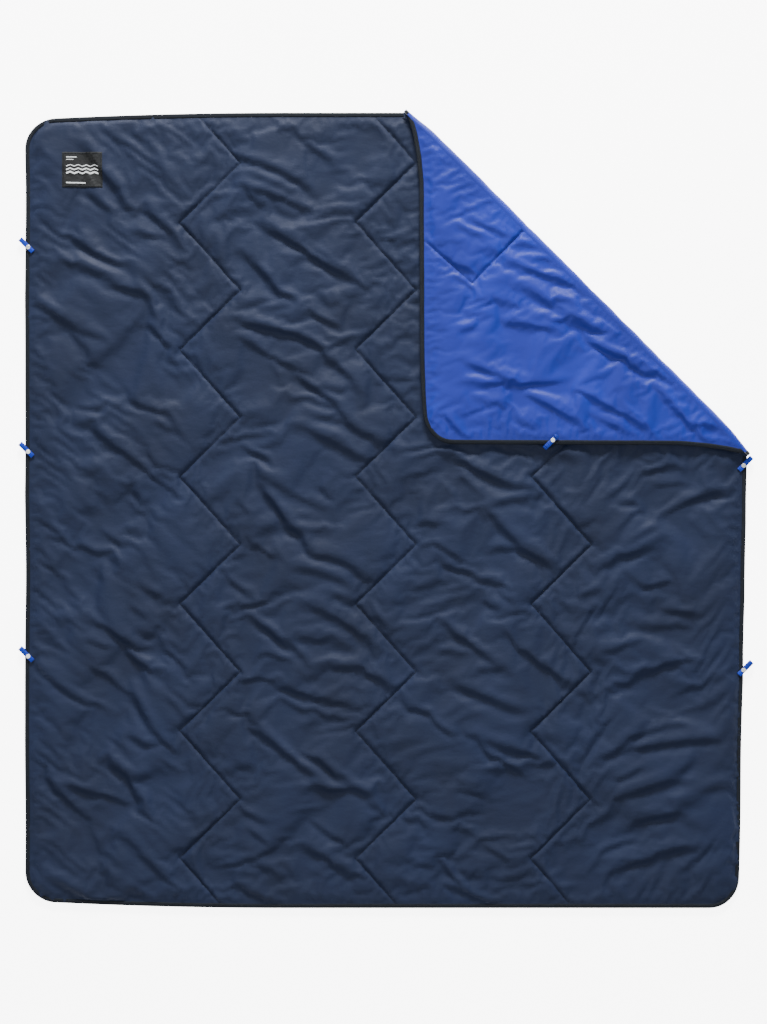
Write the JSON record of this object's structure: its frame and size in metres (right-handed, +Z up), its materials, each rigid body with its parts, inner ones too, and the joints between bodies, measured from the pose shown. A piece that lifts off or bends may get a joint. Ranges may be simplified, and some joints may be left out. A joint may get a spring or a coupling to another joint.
{
  "type": "quilted camp blanket",
  "caption": "Quilted insulated camp blanket with zigzag seams, bound edge and snap loops, laid flat with one corner folded over on its blue lining.",
  "frame": {"origin": "centre of the blanket's footprint, on the surface that it lies on", "axes": "+Z up, +Y along the length towards the end with the label, +X across the width towards the folded corner"},
  "size_m": [1.8486, 2.0016, 0.031],
  "materials": {
    "batting_fibre": "matte",
    "binding_tape": "matte",
    "binding_thread": "matte",
    "label_fabric": "matte",
    "lining_fabric": "satin",
    "lining_thread": "matte",
    "pale_thread": "matte",
    "shell_fabric": "satin",
    "shell_thread": "matte",
    "snap_metal": "satin",
    "strap_thread": "matte",
    "strap_webbing": "satin"
  },
  "bodies": {
    "blanket": {"bar_tacks_main": "strap_thread", "crease_batting": "batting_fibre", "crease_lining": "lining_fabric", "crease_shell": "shell_fabric", "label": "label_fabric", "label_stitching": "pale_thread", "main_batting": "batting_fibre", "main_binding": "binding_tape", "main_binding_stitching": "binding_thread", "main_lining": "lining_fabric", "main_seam_thread_left": "shell_thread", "main_seam_thread_middle": "shell_thread", "main_seam_thread_right": "shell_thread", "main_shell": "shell_fabric", "snap_backs_main": "snap_metal", "snap_studs_main": "snap_metal", "strap_base_left_bottom": "strap_webbing", "strap_base_left_middle": "strap_webbing", "strap_base_left_top": "strap_webbing", "strap_base_right_bottom": "strap_webbing", "strap_base_right_middle": "strap_webbing", "strap_bend_left_bottom": "strap_webbing", "strap_bend_left_middle": "strap_webbing", "strap_bend_left_top": "strap_webbing", "strap_bend_right_bottom": "strap_webbing", "strap_bend_right_middle": "strap_webbing"},
    "corner": {"bar_tack_right_top": "strap_thread", "corner_batting": "batting_fibre", "corner_binding": "binding_tape", "corner_binding_stitching": "binding_thread", "corner_lining": "lining_fabric", "corner_seam_thread_right": "lining_thread", "corner_shell": "shell_fabric", "snap_back_right_top": "snap_metal", "snap_stud_right_top": "snap_metal", "strap_base_right_top": "strap_webbing", "strap_bend_right_top": "strap_webbing"},
    "loop_tab_left_top": {"snap_cap_left_top": "snap_metal", "snap_socket_left_top": "snap_metal", "strap_tab_left_top": "strap_webbing"},
    "loop_tab_left_middle": {"snap_cap_left_middle": "snap_metal", "snap_socket_left_middle": "snap_metal", "strap_tab_left_middle": "strap_webbing"},
    "loop_tab_left_bottom": {"snap_cap_left_bottom": "snap_metal", "snap_socket_left_bottom": "snap_metal", "strap_tab_left_bottom": "strap_webbing"},
    "loop_tab_right_top": {"snap_cap_right_top": "snap_metal", "snap_socket_right_top": "snap_metal", "strap_tab_right_top": "strap_webbing"},
    "loop_tab_right_middle": {"snap_cap_right_middle": "snap_metal", "snap_socket_right_middle": "snap_metal", "strap_tab_right_middle": "strap_webbing"},
    "loop_tab_right_bottom": {"snap_cap_right_bottom": "snap_metal", "snap_socket_right_bottom": "snap_metal", "strap_tab_right_bottom": "strap_webbing"}
  },
  "joints": [
    {"name": "corner_fold", "type": "hinge", "parent": "blanket", "child": "corner", "pos_m": [0.245, 0.8, 0.0155], "axis": [-0.7071, 0.7071, 0], "range_deg": [0, 180], "deforming": ["crease_batting", "crease_lining", "crease_shell"]},
    {"name": "loop_open_left_top", "type": "hinge", "parent": "blanket", "child": "loop_tab_left_top", "pos_m": [-0.91748, 0.68048, 0.0087], "axis": [-0.7071, -0.7071, 0], "range_deg": [0, 180], "deforming": ["strap_bend_left_top"]},
    {"name": "loop_open_left_middle", "type": "hinge", "parent": "blanket", "child": "loop_tab_left_middle", "pos_m": [-0.91748, 0.16648, 0.0087], "axis": [-0.7071, -0.7071, 0], "range_deg": [0, 180], "deforming": ["strap_bend_left_middle"]},
    {"name": "loop_open_left_bottom", "type": "hinge", "parent": "blanket", "child": "loop_tab_left_bottom", "pos_m": [-0.91748, -0.34752, 0.0087], "axis": [-0.7071, -0.7071, 0], "range_deg": [0, 180], "deforming": ["strap_bend_left_bottom"]},
    {"name": "loop_open_right_top", "type": "hinge", "parent": "corner", "child": "loop_tab_right_top", "pos_m": [0.39953, 0.15752, 0.0247], "axis": [0.7071, -0.7071, 0], "range_deg": [0, 180], "deforming": ["strap_bend_right_top"]},
    {"name": "loop_open_right_middle", "type": "hinge", "parent": "blanket", "child": "loop_tab_right_middle", "pos_m": [0.91748, 0.13148, 0.0087], "axis": [-0.7071, 0.7071, 0], "range_deg": [0, 180], "deforming": ["strap_bend_right_middle"]},
    {"name": "loop_open_right_bottom", "type": "hinge", "parent": "blanket", "child": "loop_tab_right_bottom", "pos_m": [0.91748, -0.38253, 0.0087], "axis": [-0.7071, 0.7071, 0], "range_deg": [0, 180], "deforming": ["strap_bend_right_bottom"]}
  ]
}
